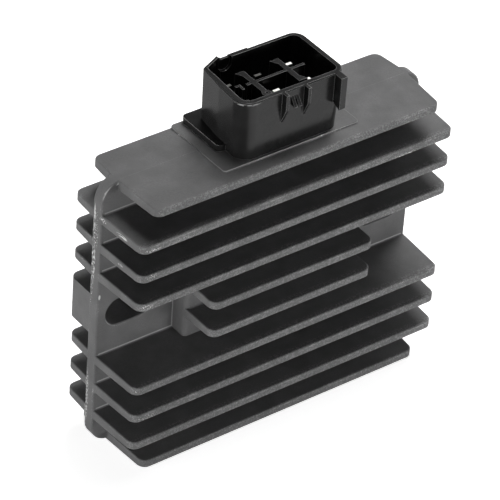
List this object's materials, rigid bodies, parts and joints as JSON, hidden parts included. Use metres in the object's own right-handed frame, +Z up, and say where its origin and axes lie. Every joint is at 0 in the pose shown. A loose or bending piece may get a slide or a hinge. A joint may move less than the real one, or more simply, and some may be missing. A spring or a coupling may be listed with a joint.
{
  "type": "voltage regulator rectifier",
  "caption": "Finned die-cast voltage regulator rectifier for a motorcycle or quad, slotted ears at both ends, potted circuit in the back and a moulded plug socket on top.",
  "frame": {"origin": "middle of the box around the part, at the underside of the bottom plate", "axes": "+Z up towards the plug socket, +Y towards the mounting side with the potting, +X along the fins, to the right when the long fins face the viewer"},
  "size_m": [0.1, 0.0292, 0.0999],
  "materials": {
    "cast_metal": "die-cast, dark grey coating, matte, worn bright along edges",
    "socket_plastic": "moulded, smooth, satin gloss",
    "tinned_brass": "tin plated, bright",
    "adhesive": "grey heat-conducting adhesive",
    "board": "metal-backed circuit board, green lacquer",
    "package": "black moulded packages",
    "can": "plain can",
    "resin": "black potting resin, poured, smooth"
  },
  "bodies": {
    "root": {"bond_layer": "adhesive", "capacitor": "can", "circuit_board": "board", "control_chip": "package", "diode_1": "package", "diode_2": "package", "diode_3": "package", "heat_sink": "cast_metal", "plug_socket": "socket_plastic", "potting": "resin", "resistor_1": "package", "resistor_2": "package", "terminal_1": "tinned_brass", "terminal_2": "tinned_brass", "terminal_3": "tinned_brass", "terminal_4": "tinned_brass", "terminal_5": "tinned_brass", "terminal_6": "tinned_brass", "thyristor_1": "package", "thyristor_2": "package", "thyristor_3": "package"}
  },
  "joints": []
}
